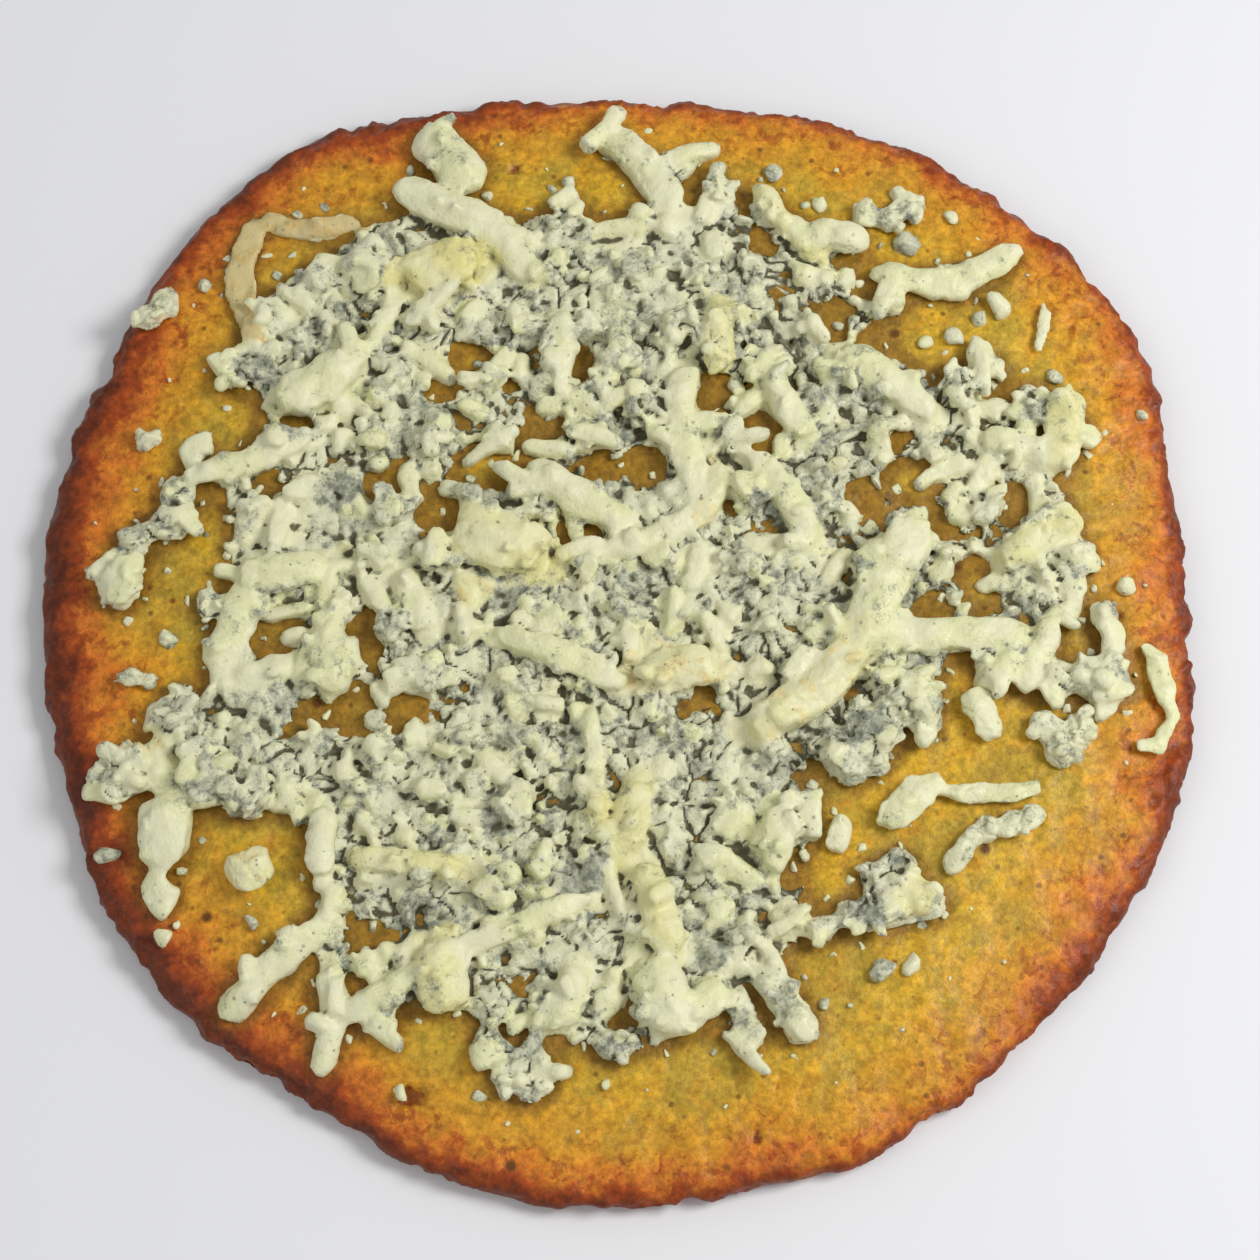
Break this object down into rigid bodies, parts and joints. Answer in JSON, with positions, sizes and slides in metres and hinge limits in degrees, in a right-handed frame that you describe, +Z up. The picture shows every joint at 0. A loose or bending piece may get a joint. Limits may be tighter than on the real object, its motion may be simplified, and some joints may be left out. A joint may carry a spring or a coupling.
{
  "type": "hash brown potato pancake with melted blue cheese",
  "caption": "Large round fried potato pancake, flat below, with a thin craggy browned rim, topped with melted grated and crumbled blue cheese.",
  "frame": {"origin": "the middle of the outline, on the flat underside that it rests on", "axes": "+Z up through the thickness; +Y towards the side with the lone oblong lump of cheese above the sheet, which is the far side when the food is served"},
  "size_m": [0.1911, 0.1934, 0.015],
  "materials": {
    "fried_potato": "fried grated potato, olive gold in the middle and reddish brown at the rim, slightly oily",
    "blue_cheese": "melted cream-white cheese with blue-grey mould, satin and slightly moist"
  },
  "bodies": {
    "root": {"potato_pancake": "fried_potato", "melted_cheese": "blue_cheese", "cheese_lump_far_right": "blue_cheese", "cheese_sliver_far_right": "blue_cheese", "cheese_hook_right": "blue_cheese", "cheese_lump_right": "blue_cheese", "cheese_chunk_right": "blue_cheese", "cheese_strand_near_right": "blue_cheese", "cheese_cluster_near_right": "blue_cheese", "cheese_oval_near_right": "blue_cheese", "cheese_chunk_near_left": "blue_cheese", "cheese_pair_left": "blue_cheese", "cheese_crumb_left": "blue_cheese", "cheese_crumb_far_left": "blue_cheese", "cheese_blob_far_left": "blue_cheese"}
  },
  "joints": []
}
